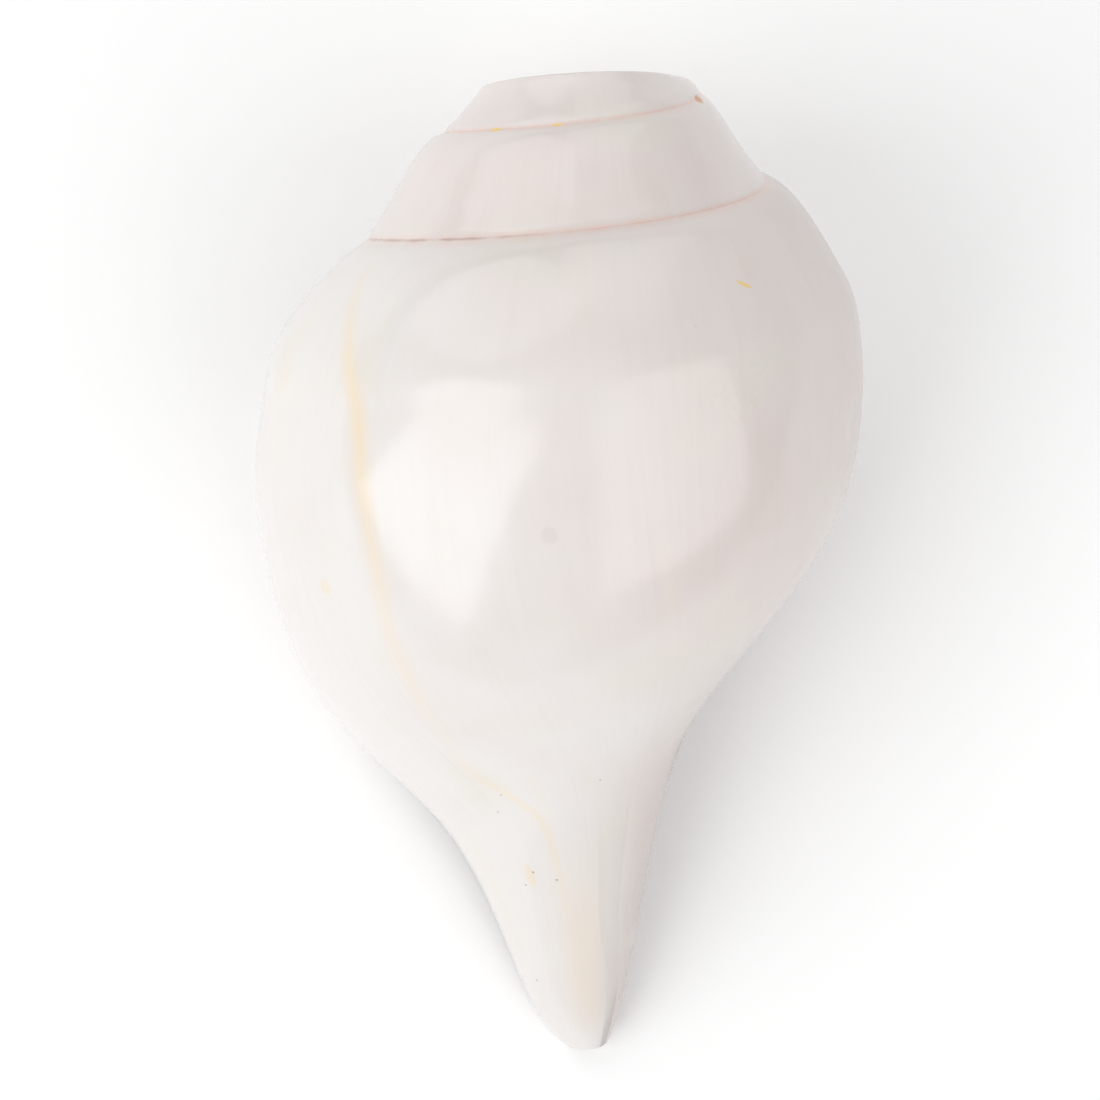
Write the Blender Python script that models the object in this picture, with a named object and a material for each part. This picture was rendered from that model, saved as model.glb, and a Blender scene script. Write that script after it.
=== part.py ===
"""A blowing conch: the shell of a sacred chank, polished all over, its spire ground flat and drilled.

The animal grows its shell by adding to the lip, so every surface here is swept round the shell's axis.
A place on the shell is given by two numbers. The turn is 0 at the lip and runs negative towards the
apex, one unit a whorl. The position runs down a whorl from 0 at its suture to 1 at the canal's tip.
The outside, the inside of the wall and the columella are all worked out from one table of lines.
"""

import math

import bmesh
import bpy
import numpy as np
from mathutils import Matrix, Vector

MM = 0.001

# Lines that run round the shell: position, then radius and depth below the growth apex at the lip
# (millimetres), then how many times larger each becomes in one turn.
LINES = (
    (0.045, 39.55, 48.16, 1.536, 1.699),  # edge of the shoulder
    (0.105, 47.09, 56.35, 1.525, 1.484),  # shoulder slope
    (0.205, 50.52, 66.76, 1.470, 1.505),  # where the next whorl will join on
    (0.297, 52.6, 78.7, 1.515, 1.508),  # widest line
    (0.392, 51.5, 93.9, 1.54, 1.454),  # side of the belly
    (0.536, 44.3, 116.4, 1.715, 1.514),  # base
    (0.675, 30.7, 131.8, 1.92, 1.449),  # lower base
    (0.763, 22.4, 140.8, 2.25, 1.339),  # neck
    (0.862, 14.6, 155.8, 2.54, 1.181),  # canal
    (0.955, 8.5, 167.8, 2.71, 1.066),  # end of the canal
    (1.000, 4.6, 171.3, 2.60, 1.015),  # rim of the canal's tip
)
JOIN_LINE = 2  # index of the line that carries the next whorl's suture
GROWTH_DRIFT = 0.042  # early whorls grew this much faster for each turn back
EDGE_DRIFT = -0.075  # the same for the depth of the shoulder's edge, which early whorls hardly raise

# The wall and the space inside it.
WALL = 3.3  # millimetres, at the lip
WALL_SHRINK = 1.36  # times thinner each turn back
TIP_WALL = 0.45  # of the wall's thickness left at the tip of the canal
TIP_THINS_FROM = 0.80  # position where it starts to get thinner
CORNER = 0.235  # position on the older whorl where the inside meets it
CORNER_ROUND = 0.06  # length of the round corner below the suture, in position
TAIL_ROUND = 0.11  # the same at the far end of the space, in the canal
LIP_LAG = 0.045  # turns by which the lip's lower end trails its upper end
LAG_LENGTH = 0.65  # position over which it comes to trail by that much
GUTTER_TURNS = (-1.0, -0.65)  # the canal's axis side is drawn in between these, to open its gutter
GUTTER_DRAW = 0.5  # share of the radius drawn in there, at the tip
GUTTER_FROM = 0.70  # position where the drawing in starts
GUTTER_LENGTH = 0.25  # and how far down it takes to be complete
# How far down the space reaches, as position at each turn; past 1 the canal is open to its tip.
TAIL_TURNS = (-2.40, -1.00, -0.75, -0.50, -7 / 24, 0.0)
TAIL_ENDS = (0.74, 0.79, 0.83, 0.90, 1.00, 1.16)
# Pleats on the columella, as positions, with their height in millimetres and half width in position.
PLEATS = (0.640, 0.690, 0.740)
PLEAT_HEIGHT = 1.7
PLEAT_WIDTH = 0.012
PLEAT_TURNS = (-0.62, -0.45, -0.10, -0.01)  # fade in, full, full, fade out

# The ground spire and the blow hole.
CUT_DEPTH = 19.0  # below the growth apex, on the axis
CUT_TILT = math.radians(10.0)  # lower towards the back of the shell, which lies uppermost
CUT_LEAN = math.radians(2.0)  # higher towards +X
GRIND_REACH = 60.0  # half width of the block that is ground off, and its height
ROOF = 2.6  # wall left over the inner whorls, under the cut
ROOF_ROUND = 0.6  # rounding where the inside meets its roof
HOLE_RADIUS = 5.8
HOLE_DEPTH = 16.0
HOLE_FLARE = 0.9  # how much wider its mouth is
FLARE_TOP = 0.6  # the flare's upper and lower ends, from the middle of the cut
FLARE_FOOT = -1.4
DRILL_TOP = 4.0  # clear above the cut
DRILL_WEB = 0.2  # radius of the blunt point at its lower end
HOLE_SIDES = 28

# How the finished shell lies, on its lip, its belly and the tip of its canal, with the spire to +Y.
LIP_ANGLE = math.radians(32.3)  # of the lip below the horizontal, on the -X side
AXIS_RISE = math.radians(18.2)  # of the spire end over the horizontal

# Mesh steps.
TURNS = 4
STEPS = 48  # columns in one turn of the outside
ROWS_ABOVE = 9  # suture to the joining line
ROWS_LIP = 3  # across the thickness of the lip
ROWS_BELOW = 24  # down to the tip
NEAR_STEPS = 24  # columns in one turn of the inside, near the aperture
NEAR_END = -0.5
FAR_STEPS = 16  # the same, farther in
INSIDE_END = -2.3125  # turn at which the inside stops, under the ground spire
NEAR_ROWS = 18  # down the outer side of the inside, near the aperture
FAR_ROWS = (12, 8)  # down its outer and axis sides, farther in
# Rows down the axis side near the aperture, close together over the pleats: from, to and how many.
PLEAT_ROWS = ((0.0, 0.44, 5), (0.50, 0.76, 20), (0.82, 1.0, 4))


def clear_scene():
    for thing in list(bpy.data.objects):
        bpy.data.objects.remove(thing, do_unlink=True)


def smooth_step(x):
    x = np.clip(x, 0.0, 1.0)
    return x * x * (3.0 - 2.0 * x)


def quarter_round(x):
    """0 to 1 along a quarter circle, steep at the start."""
    x = np.clip(x, 0.0, 1.0)
    return np.sqrt(1.0 - (1.0 - x) ** 2)


def smooth_curve(knots, values, at):
    """Natural cubic spline through values at knots; values may hold one row per turn."""
    count = len(knots)
    gap = np.diff(knots)
    bend = np.eye(count)
    pull = np.zeros((count, count))
    for i in range(1, count - 1):
        bend[i, i - 1 : i + 2] = gap[i - 1], 2.0 * (gap[i - 1] + gap[i]), gap[i]
        pull[i, i - 1 : i + 2] = 6.0 / gap[i - 1], -6.0 / gap[i - 1] - 6.0 / gap[i], 6.0 / gap[i]
    second = values @ np.linalg.solve(bend, pull).T
    i = np.clip(np.searchsorted(knots, at, side="right") - 1, 0, count - 2)
    a = (knots[i + 1] - at) / gap[i]
    b = (at - knots[i]) / gap[i]
    rows = np.arange(len(values))
    straight = a * values[rows, i] + b * values[rows, i + 1]
    return straight + ((a**3 - a) * second[rows, i] + (b**3 - b) * second[rows, i + 1]) * gap[i] ** 2 / 6.0


def line_values(turn, line):
    """Radius and depth of one line at the given turns."""
    _, radius, depth, radius_growth, depth_growth = LINES[line]
    age = turn - GROWTH_DRIFT * turn * turn
    depth_age = turn - EDGE_DRIFT * turn * turn if line == 0 else age
    return radius * radius_growth**age, depth * depth_growth**depth_age


def gutter(turn, position):
    """Share of the radius left where the canal's axis side is drawn in."""
    late, early = GUTTER_TURNS
    back = smooth_step((early - turn) / (early - late))
    down = smooth_step((position - GUTTER_FROM) / GUTTER_LENGTH)
    return 1.0 - GUTTER_DRAW * back * down


def outside(turn, position):
    """Radius and depth of the shell's outside at matching arrays of turn and position."""
    knots = np.array([0.0] + [line[0] for line in LINES])
    points = [line_values(turn - 1.0, JOIN_LINE)] + [line_values(turn, i) for i in range(len(LINES))]
    radii = np.stack([p[0] for p in points], axis=1)
    depths = np.stack([p[1] for p in points], axis=1)
    radius = smooth_curve(knots, radii, position) * gutter(turn, position)
    return radius, smooth_curve(knots, depths, position)


def outward(turn, position):
    """Unit vector out of the surface, in the plane through the axis."""
    step = 1e-3
    r0, d0 = outside(turn, position - step)
    r1, d1 = outside(turn, position + step)
    length = np.hypot(r1 - r0, d1 - d0)
    return (d1 - d0) / length, -(r1 - r0) / length


def wall_thickness(turn, position):
    near_tip = smooth_step((position - TIP_THINS_FROM) / (1.0 - TIP_THINS_FROM))
    return WALL * WALL_SHRINK**turn * (1.0 - (1.0 - TIP_WALL) * near_tip)


def lag(position):
    """Turns by which the shell was laid down later at a position than at its suture."""
    return LIP_LAG * smooth_step((position - CORNER) / LAG_LENGTH)


def tail_end(turn):
    return np.interp(turn, TAIL_TURNS, TAIL_ENDS)


def older_side(turn, position):
    """The wall of the space on the axis side: the older whorl's outside and the columella's pleats."""
    radius, depth = outside(turn - lag(position) - 1.0, position)
    out_r, out_d = outward(turn - lag(position) - 1.0, position)
    ridge = sum(np.exp(-(((position - p) / PLEAT_WIDTH) ** 2)) for p in PLEATS)
    strength = np.interp(turn, PLEAT_TURNS, (0.0, 1.0, 1.0, 0.0))
    height = PLEAT_HEIGHT * ridge * strength
    return radius + height * out_r, depth + height * out_d


def outer_side(turn, along):
    """The wall of the space on the side away from the axis; along runs 0 to 1 down the space."""
    end = np.minimum(1.0, tail_end(turn))
    position = along * end
    place = turn - lag(position)
    radius, depth = outside(place, position)
    out_r, out_d = outward(place, position)
    wall = wall_thickness(place, position)
    old_r, old_d = older_side(turn, CORNER + (end - CORNER) * along)
    open_up = quarter_round(position / CORNER_ROUND)
    open_up = open_up * quarter_round((tail_end(turn) - position) / TAIL_ROUND)
    inner_r = radius - wall * out_r
    inner_d = depth - wall * out_d
    return old_r + (inner_r - old_r) * open_up, old_d + (inner_d - old_d) * open_up


def in_space(radius, depth, turn):
    """Points in the shell's own frame: Z up the axis, the lip at LIP_ANGLE under -X."""
    angle = 2.0 * math.pi * turn + LIP_ANGLE
    return np.stack([-radius * np.cos(angle), radius * np.sin(angle), -depth], axis=-1)


def ground_plane(x, y):
    """Height of the ground face."""
    return x * math.tan(CUT_LEAN) - y * math.tan(CUT_TILT) - CUT_DEPTH


def under_roof(points):
    """Press what reaches too near the ground face down to the roof under it, with a round edge."""
    roof = ground_plane(points[..., 0], points[..., 1]) - ROOF
    below = roof - points[..., 2]
    rounded = (np.clip(below, -ROOF_ROUND, ROOF_ROUND) + ROOF_ROUND) ** 2 / (4.0 * ROOF_ROUND)
    points = points.copy()
    points[..., 2] = roof - np.where(below > ROOF_ROUND, below, rounded)
    return points


class Skin:
    """Collects vertices and faces of the one closed surface."""

    def __init__(self):
        self.points = []
        self.faces = []

    def add(self, points):
        first = len(self.points)
        self.points.extend(points)
        return list(range(first, len(self.points)))

    def face(self, *corners):
        kept = [c for i, c in enumerate(corners) if c != corners[i - 1]]
        if len(kept) > 2:
            self.faces.append(kept)

    def strip(self, left, right):
        """Quads between two columns with the same number of rows."""
        for j in range(len(left) - 1):
            self.face(left[j], right[j], right[j + 1], left[j + 1])

    def zip(self, left, left_at, right, right_at):
        """Triangles between two columns whose rows differ, matched by their places along."""
        i = j = 0
        while i < len(left) - 1 or j < len(right) - 1:
            step_left = j == len(right) - 1 or (i < len(left) - 1 and left_at[i + 1] <= right_at[j + 1])
            if step_left:
                self.face(left[i], right[j], left[i + 1])
                i += 1
            else:
                self.face(left[i], right[j], right[j + 1])
                j += 1


def outside_rows():
    above = np.linspace(0.0, LINES[JOIN_LINE][0], ROWS_ABOVE + 1)
    across = np.linspace(LINES[JOIN_LINE][0], CORNER, ROWS_LIP + 1)[1:]
    below = np.linspace(CORNER, 1.0, ROWS_BELOW + 1)[1:]
    return np.concatenate([above, across, below])


def add_outside(skin):
    """The outside: early whorls as ribbons joined suture to whorl, the last whorl down to its tip."""
    rows = outside_rows()
    columns = []
    for i in range(TURNS * STEPS + 1):
        turn = i / STEPS - TURNS
        last_whorl = i >= (TURNS - 1) * STEPS
        used = rows if last_whorl else rows[: ROWS_ABOVE + 1]
        place = turn - lag(used)
        points = in_space(*outside(place, used), place)
        if i < STEPS:
            columns.append(skin.add(points))
        else:
            columns.append([columns[i - STEPS][ROWS_ABOVE]] + skin.add(points[1:]))
    for i in range(TURNS * STEPS):
        shared = min(len(columns[i]), len(columns[i + 1]))
        skin.strip(columns[i][:shared], columns[i + 1][:shared])
    apex_loop = [columns[i][0] for i in range(STEPS)] + columns[0][ROWS_ABOVE:0:-1]
    skin.face(*apex_loop)
    return columns


def side_rows(turn):
    """Rows down the two sides of the space, as places along it: close together over the pleats."""
    if turn > NEAR_END - 1e-6:
        older = np.concatenate([np.linspace(*rows) for rows in PLEAT_ROWS])
        return np.linspace(0.0, 1.0, NEAR_ROWS + 1), older
    return np.linspace(0.0, 1.0, FAR_ROWS[0] + 1), np.linspace(0.0, 1.0, FAR_ROWS[1] + 1)


def inside_turns():
    near = np.arange(0.0, NEAR_END - 1e-6, -1.0 / NEAR_STEPS)
    far = np.arange(NEAR_END, INSIDE_END - 1e-6, -1.0 / FAR_STEPS)
    return np.concatenate([near, far[1:]])


def add_lip(skin, columns):
    """The round edge of the lip, from the outside to the first column of the inside."""
    rows = outside_rows()
    outer = columns[-1]
    seat = columns[-1 - STEPS]
    radius, depth = outer_side(np.zeros(len(rows)), rows)
    place = -lag(rows)
    inner_points = in_space(radius, depth, place)
    outer_points = np.array([skin.points[v] for v in outer])
    forward = in_space(radius, depth, place + 0.002) - inner_points
    forward /= np.linalg.norm(forward, axis=1, keepdims=True)
    middle = (inner_points + outer_points) / 2.0
    half = (outer_points - inner_points) / 2.0
    bulge = np.linalg.norm(half, axis=1, keepdims=True) * forward
    settle = 1.0 - smooth_step(rows / 0.10)[:, None]
    strips = [outer]
    for k in range(1, ROWS_LIP + 1):
        swing = math.pi * k / ROWS_LIP
        points = middle + half * math.cos(swing) + bulge * math.sin(swing)
        points = points + (np.array(skin.points[seat[ROWS_ABOVE + k]]) - points[0]) * settle
        strips.append([seat[ROWS_ABOVE + k]] + skin.add(points[1:]))
    for left, right in zip(strips, strips[1:]):
        skin.strip(left, right)
    return strips


def add_inside(skin, columns, strips):
    """The space that the animal lived in, from the lip up to under the ground spire."""
    seat = columns[-1 - STEPS][ROWS_ABOVE + ROWS_LIP :]
    below = outside_rows()[ROWS_ABOVE + ROWS_LIP :]
    older, older_at = seat, (below - CORNER) / (1.0 - CORNER)
    outer, outer_at = strips[-1], outside_rows()
    mouth = [(outer[-1], older[-1])]
    for turn in inside_turns()[1:]:
        next_outer_at, next_older_at = side_rows(turn)
        end = min(1.0, float(tail_end(turn)))
        old_turn = np.full(len(next_older_at), turn)
        old_position = CORNER + (end - CORNER) * next_older_at
        old_points = in_space(*older_side(old_turn, old_position), turn - lag(old_position))
        out_turn = np.full(len(next_outer_at), turn)
        out_points = in_space(*outer_side(out_turn, next_outer_at), turn - lag(next_outer_at * end))
        next_older = skin.add(under_roof(old_points))
        closed = tail_end(turn) < 1.0 + 1e-6
        last = -1 if closed else None
        next_outer = [next_older[0]] + skin.add(under_roof(out_points)[1:last])
        if closed:
            next_outer.append(next_older[-1])
        skin.zip(outer, outer_at, next_outer, next_outer_at)
        skin.zip(next_older, next_older_at, older, older_at)
        if mouth[-1][0] != mouth[-1][1]:
            mouth.append((next_outer[-1], next_older[-1]))
        outer, outer_at, older, older_at = next_outer, next_outer_at, next_older, next_older_at
    skin.face(*outer, *older[-2:0:-1])
    return mouth


def add_tip(skin, columns, strips, mouth):
    """The end of the canal: a C-shaped rim round its opening."""
    rim = [column[-1] for column in columns[-1 - STEPS :]]
    edge = [strip[-1] for strip in strips[1:-1]]
    down = [pair[0] for pair in mouth]
    back = [pair[1] for pair in reversed(mouth[1:-1])]
    skin.face(*rim, *edge, *down, *back)


def shell_skin():
    skin = Skin()
    columns = add_outside(skin)
    strips = add_lip(skin, columns)
    mouth = add_inside(skin, columns, strips)
    add_tip(skin, columns, strips, mouth)
    return skin


def skin_object(name, skin, turned):
    """The skin as an object, faces outwards."""
    mesh = bpy.data.meshes.new(name)
    mesh.from_pydata([tuple(point * MM) for point in skin.points], [], skin.faces)
    bm = bmesh.new()
    bm.from_mesh(mesh)
    bmesh.ops.recalc_face_normals(bm, faces=bm.faces)
    bm.to_mesh(mesh)
    bm.free()
    mesh.transform(turned)
    thing = bpy.data.objects.new(name, mesh)
    bpy.context.collection.objects.link(thing)
    return thing


def cut_away(shell, name, rings, turned):
    """Cut a closed solid, given as rings of points from its top down, out of the shell."""
    skin = Skin()
    loops = [skin.add(ring) for ring in rings]
    for upper, lower in zip(loops, loops[1:]):
        skin.strip(upper + upper[:1], lower + lower[:1])
    skin.face(*loops[0])
    skin.face(*loops[-1])
    cutter = skin_object(name, skin, turned)
    cutter.hide_render = True
    cutter.display_type = "WIRE"
    cut = shell.modifiers.new(name, "BOOLEAN")
    cut.operation = "DIFFERENCE"
    cut.solver = "EXACT"
    cut.object = cutter
    return cutter


def ground_off_rings():
    """The block over the ground face, as its top and bottom corners."""
    x = np.array((-1.0, 1.0, 1.0, -1.0)) * GRIND_REACH
    y = np.array((-1.0, -1.0, 1.0, 1.0)) * GRIND_REACH
    top = np.full(4, GRIND_REACH)
    return [np.stack([x, y, height], axis=1) for height in (top, ground_plane(x, y))]


def blow_hole_rings():
    """The drill, turned about the shell's axis, from above the ground face to its pointed end."""
    mouth = HOLE_RADIUS + HOLE_FLARE
    profile = (
        (mouth, DRILL_TOP),
        (mouth, FLARE_TOP),
        (HOLE_RADIUS, FLARE_FOOT),
        (HOLE_RADIUS, -HOLE_DEPTH),
        (DRILL_WEB, -HOLE_DEPTH - HOLE_RADIUS / 2.0),
    )
    angles = np.arange(HOLE_SIDES) * 2.0 * math.pi / HOLE_SIDES
    rings = []
    for radius, height in profile:
        heights = np.full(HOLE_SIDES, height - CUT_DEPTH)
        rings.append(np.stack([radius * np.cos(angles), radius * np.sin(angles), heights], axis=1))
    return rings


def to_footprint(shell):
    """The move that sets the middle of the cut shell's footprint at the origin."""
    evaluated = shell.evaluated_get(bpy.context.evaluated_depsgraph_get())
    points = np.array([v.co[:] for v in evaluated.data.vertices])
    low, high = points.min(axis=0), points.max(axis=0)
    middle = Vector(((low[0] + high[0]) / 2.0, (low[1] + high[1]) / 2.0, low[2]))
    return Matrix.Translation(-middle)


def shell_material():
    material = bpy.data.materials.new("polished_shell")
    material.use_nodes = True
    surface = material.node_tree.nodes["Principled BSDF"]
    surface.inputs["Base Color"].default_value = (0.83, 0.79, 0.77, 1.0)
    surface.inputs["Roughness"].default_value = 0.22
    surface.inputs["Metallic"].default_value = 0.0
    return material


def build_shell():
    turned = Matrix.Rotation(AXIS_RISE - math.pi / 2.0, 4, "X")
    shell = skin_object("shell", shell_skin(), turned)
    ground_off = cut_away(shell, "ground_off", ground_off_rings(), turned)
    blow_hole = cut_away(shell, "blow_hole", blow_hole_rings(), turned)
    place = to_footprint(shell)
    for thing in (shell, ground_off, blow_hole):
        thing.data.transform(place)
    shell.data.shade_smooth()
    shell.data.set_sharp_from_angle(angle=math.radians(40))
    shell.data.materials.append(shell_material())


clear_scene()
build_shell()
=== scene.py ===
import math

import bmesh
import bpy
import numpy as np
from mathutils import Matrix, Vector


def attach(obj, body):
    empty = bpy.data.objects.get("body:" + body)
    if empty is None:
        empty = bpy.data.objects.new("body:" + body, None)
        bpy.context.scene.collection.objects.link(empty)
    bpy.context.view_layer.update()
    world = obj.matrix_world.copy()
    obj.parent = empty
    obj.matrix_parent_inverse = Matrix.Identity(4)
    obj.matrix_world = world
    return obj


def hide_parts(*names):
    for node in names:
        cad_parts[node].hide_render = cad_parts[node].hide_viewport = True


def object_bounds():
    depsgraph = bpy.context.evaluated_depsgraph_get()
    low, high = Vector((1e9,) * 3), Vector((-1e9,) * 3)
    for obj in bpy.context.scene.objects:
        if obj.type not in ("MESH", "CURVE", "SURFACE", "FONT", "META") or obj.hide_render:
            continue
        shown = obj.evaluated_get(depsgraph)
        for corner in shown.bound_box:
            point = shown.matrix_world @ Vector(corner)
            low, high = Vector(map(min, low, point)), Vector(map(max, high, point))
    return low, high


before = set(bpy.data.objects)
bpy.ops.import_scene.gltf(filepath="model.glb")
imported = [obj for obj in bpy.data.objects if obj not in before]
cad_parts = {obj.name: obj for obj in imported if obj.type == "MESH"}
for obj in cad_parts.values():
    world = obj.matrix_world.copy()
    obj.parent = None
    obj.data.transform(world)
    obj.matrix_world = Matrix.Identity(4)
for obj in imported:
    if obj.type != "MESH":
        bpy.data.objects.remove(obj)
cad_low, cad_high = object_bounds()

# ==================================================================================================
# THE SHELL: HOW IT GROWS
# A sacred chank, one piece of shell that grows at its lip, so every line on it is a spiral. A place
# on it has two numbers: the turn, 0 at the lip and one less for each whorl back to the apex, and
# the position, from 0 at the suture at the top of a whorl to 1 at the tip of the canal.
# ==================================================================================================

MM = 0.001

# Lines that run round the shell: position, then radius and depth below the growth apex at the lip
# (millimetres), then how many times larger each becomes in one turn.
LINES = (
    (0.045, 39.55, 48.16, 1.536, 1.699),  # edge of the shoulder
    (0.105, 47.09, 56.35, 1.525, 1.484),  # shoulder slope
    (0.205, 50.52, 66.76, 1.470, 1.505),  # where the next whorl will join on
    (0.297, 52.6, 78.7, 1.515, 1.508),  # widest line
    (0.392, 51.5, 93.9, 1.54, 1.454),  # side of the belly
    (0.536, 44.3, 116.4, 1.715, 1.514),  # base
    (0.675, 30.7, 131.8, 1.92, 1.449),  # lower base
    (0.763, 22.4, 140.8, 2.25, 1.339),  # neck
    (0.862, 14.6, 155.8, 2.54, 1.181),  # canal
    (0.955, 8.5, 167.8, 2.71, 1.066),  # end of the canal
    (1.000, 4.6, 171.3, 2.60, 1.015),  # rim of the canal's tip
)
JOIN = LINES[2][0]
GROWTH_DRIFT = 0.042  # early whorls grew this much faster for each turn back
EDGE_DRIFT = -0.075  # the same for the depth of the shoulder's edge, hardly raised in early whorls
LINE_SAMPLES = 1000  # steps in which the position is counted along them
WEIGHTS = ("weights 1", "weights 2", "weights 3", "weights 4")  # three lines in each


def smooth_curve(knots, values, at):
    """Natural cubic spline through rows of values at knots."""
    count = len(knots)
    gap = np.diff(knots)
    bend = np.eye(count)
    pull = np.zeros((count, count))
    for i in range(1, count - 1):
        bend[i, i - 1 : i + 2] = gap[i - 1], 2.0 * (gap[i - 1] + gap[i]), gap[i]
        pull[i, i - 1 : i + 2] = 6.0 / gap[i - 1], -6.0 / gap[i - 1] - 6.0 / gap[i], 6.0 / gap[i]
    second = values @ np.linalg.solve(bend, pull).T
    i = np.clip(np.searchsorted(knots, at, side="right") - 1, 0, count - 2)
    a = (knots[i + 1] - at) / gap[i]
    b = (at - knots[i]) / gap[i]
    curved = (a**3 - a) * second[:, i] + (b**3 - b) * second[:, i + 1]
    return a * values[:, i] + b * values[:, i + 1] + curved * gap[i] ** 2 / 6.0


def growth_lines():
    """The way down a whorl laid out straight, each point carrying the pull of every line on it."""
    knots = np.array([0.0] + [line[0] for line in LINES])
    at = np.linspace(0.0, 1.0, LINE_SAMPLES + 1)
    weights = smooth_curve(knots, np.eye(len(knots)), at)
    mesh = bpy.data.meshes.new("growth_lines")
    places = [(float(s), 0.0, 0.0) for s in at]
    mesh.from_pydata(places, [(i, i + 1) for i in range(LINE_SAMPLES)], [])
    for k, name in enumerate(WEIGHTS):
        pull = mesh.attributes.new(name, "FLOAT_VECTOR", "POINT")
        pull.data.foreach_set("vector", weights[3 * k : 3 * k + 3].T.ravel())
    lines = bpy.data.objects.new("growth_lines", mesh)
    bpy.context.collection.objects.link(lines)
    return lines


class Field:
    """A number on a wire of a node tree, so that a growth rule reads as plain sums."""

    def __init__(self, tree, socket):
        self.tree = tree
        self.socket = socket

    def math(self, operation, *others):
        node = self.tree.nodes.new("ShaderNodeMath")
        node.operation = operation
        for slot, value in zip(node.inputs, (self, *others)):
            wire(self.tree, value, slot)
        return Field(self.tree, node.outputs[0])

    def __add__(self, other):
        return self.math("ADD", other)

    __radd__ = __add__

    def __sub__(self, other):
        return self.math("SUBTRACT", other)

    def __rsub__(self, other):
        return self.math("MULTIPLY_ADD", -1.0, other)

    def __mul__(self, other):
        return self.math("MULTIPLY", other)

    __rmul__ = __mul__

    def __truediv__(self, other):
        return self.math("DIVIDE", other)

    def __pow__(self, other):
        return self.math("POWER", other)

    def __rpow__(self, base):
        node = make_node(self.tree, "ShaderNodeMath", {"operation": "POWER"})
        node.inputs[0].default_value = base
        wire(self.tree, self, node.inputs[1])
        return Field(self.tree, node.outputs[0])


def wire(tree, value, slot):
    """Feed a socket with a field, or set it to a plain value."""
    if isinstance(value, Field):
        tree.links.new(value.socket, slot)
    else:
        slot.default_value = value


def make_node(tree, kind, settings=(), **inputs):
    """A node with its settings and its inputs, named with underscores for spaces."""
    node = tree.nodes.new(kind)
    for name, value in dict(settings).items():
        setattr(node, name, value)
    for name, value in inputs.items():
        slots = [s for s in node.inputs if s.name == name.replace("_", " ") and s.enabled]
        wire(tree, value, slots[0])
    return node


def made(tree, kind, settings=(), **inputs):
    """The first output of such a node."""
    return Field(tree, make_node(tree, kind, settings, **inputs).outputs[0])


def ramp(value, start, stop, low=0.0, high=1.0, kind="SMOOTHSTEP"):
    """Goes from low to high as value goes from start to stop, and stays there."""
    node = value.tree.nodes.new("ShaderNodeMapRange")
    node.interpolation_type = kind
    node.clamp = True
    for slot, number in zip(node.inputs, (value, start, stop, low, high)):
        wire(value.tree, number, slot)
    return Field(value.tree, node.outputs[0])


def blend(share, first, second):
    return first + (second - first) * share


def hump(off):
    """1 in the middle, falling off smoothly on both sides."""
    return (off * off * -1.0).math("EXPONENT")


def vector(tree, x, y, z):
    return made(tree, "ShaderNodeCombineXYZ", X=x, Y=y, Z=z)


def vector_math(operation, first, second=None, scale=None):
    node = first.tree.nodes.new("ShaderNodeVectorMath")
    node.operation = operation
    wire(first.tree, first, node.inputs[0])
    if second is not None:
        wire(first.tree, second, node.inputs[1])
    if scale is not None:
        wire(first.tree, scale, node.inputs["Scale"])
    result = "Value" if operation in ("LENGTH", "DISTANCE") else "Vector"
    return Field(first.tree, node.outputs[result])


def parts_of(vector_field):
    node = make_node(vector_field.tree, "ShaderNodeSeparateXYZ", Vector=vector_field)
    return [Field(vector_field.tree, socket) for socket in node.outputs]


def node_group(name, inputs, outputs):
    """An empty geometry group with named inputs; returns it, its inputs as fields, and its end."""
    tree = bpy.data.node_groups.new(name, "GeometryNodeTree")
    for label, value in inputs.items():
        kind = "NodeSocketGeometry" if value is None else "NodeSocketFloat"
        socket = tree.interface.new_socket(label, in_out="INPUT", socket_type=kind)
        if value is not None:
            socket.default_value = value
    for label in outputs:
        kind = "NodeSocketGeometry" if label == "Shell" else "NodeSocketFloat"
        tree.interface.new_socket(label, in_out="OUTPUT", socket_type=kind)
    start = tree.nodes.new("NodeGroupInput")
    end = tree.nodes.new("NodeGroupOutput")
    return tree, {s.name: Field(tree, s) for s in start.outputs if s.name}, end


def use_group(tree, group, *values):
    """Puts a group into a tree, feeds its first inputs in order, and returns its outputs."""
    node = tree.nodes.new("GeometryNodeGroup")
    node.node_tree = group
    for slot, value in zip(node.inputs, values):
        wire(tree, value, slot)
    return [Field(tree, socket) for socket in node.outputs]


# The canal's axis side is drawn in between two turns, to open its gutter.
GUTTER_TURNS = (-1.0, -0.65)
GUTTER_POSITIONS = (0.70, 0.95)
GUTTER_DRAW = 0.5  # share of the radius drawn in there, at the tip
TIP_ROUND_FROM = 0.965  # position where the rim of the canal's tip starts to round over
TIP_ROUND = 0.42 * MM


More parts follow.
